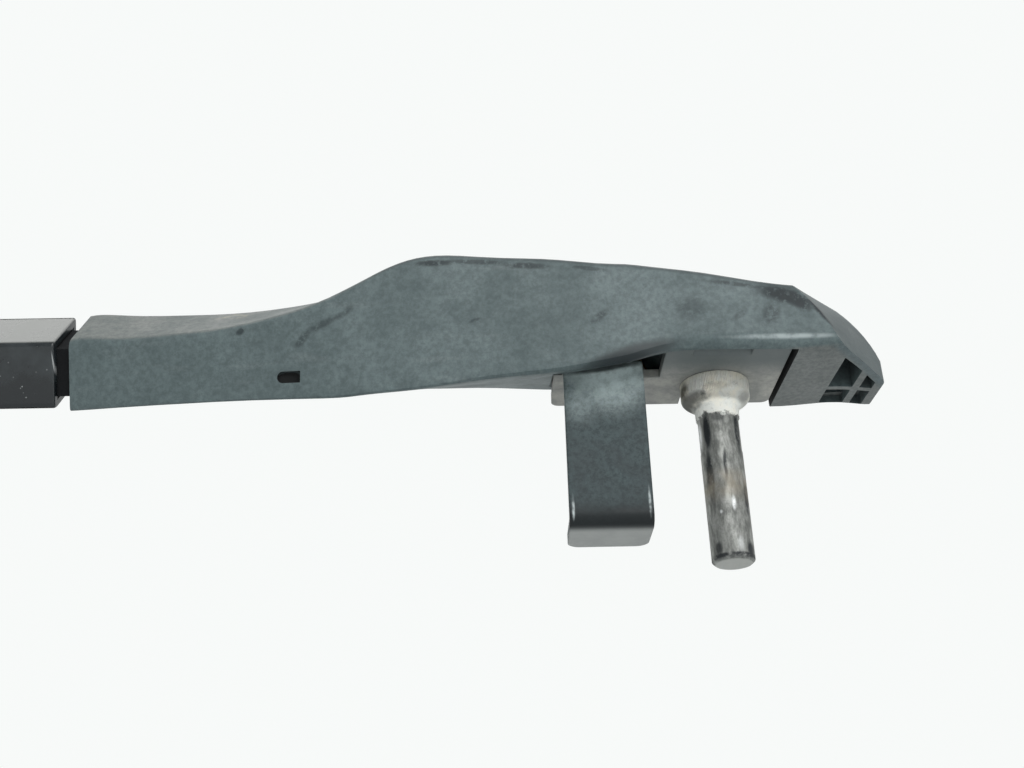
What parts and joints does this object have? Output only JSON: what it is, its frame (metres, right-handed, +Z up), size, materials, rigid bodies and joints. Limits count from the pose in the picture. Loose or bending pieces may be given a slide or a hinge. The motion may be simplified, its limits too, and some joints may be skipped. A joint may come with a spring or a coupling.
{
  "type": "wiper arm",
  "caption": "Sprung wiper arm with a twisted moulded body, ribbed nose, folded steel head with a hooked leg, and a plain spindle pin.",
  "frame": {"origin": "on the spindle axis, at the shoulder where the plain shank begins", "axes": "+Z up along the spindle away from the shank, +X towards the nose, -X towards the blade end"},
  "size_m": [0.206, 0.03, 0.0668],
  "materials": {
    "arm_plastic": "weathered matt with scuffs",
    "bar_black": "smooth gloss black",
    "head_paint": "worn dark paint with shiny edges",
    "pin_steel": "worn blackened steel with a corroded collar",
    "plain_steel": "plain zinc-plated steel",
    "bush_brass": "dull bronze"
  },
  "bodies": {
    "head": {"head_bracket": "head_paint", "spindle_pin": "pin_steel", "hinge_pin": "plain_steel", "spring_pin": "plain_steel"},
    "arm": {"arm_body": "arm_plastic", "outer_bar": "bar_black", "anchor_pin": "plain_steel", "hinge_bush_near": "bush_brass", "hinge_bush_far": "bush_brass", "tension_spring": "plain_steel"}
  },
  "joints": [
    {"name": "arm_lift", "type": "hinge", "parent": "head", "child": "arm", "pos_m": [-0.009, 0, 0.0146], "axis": [0, 1, 0], "range_deg": [0, 18], "stiffness_Nm_per_rad": 0.6, "springref_deg": -34.38, "deforming": ["tension_spring"]}
  ]
}
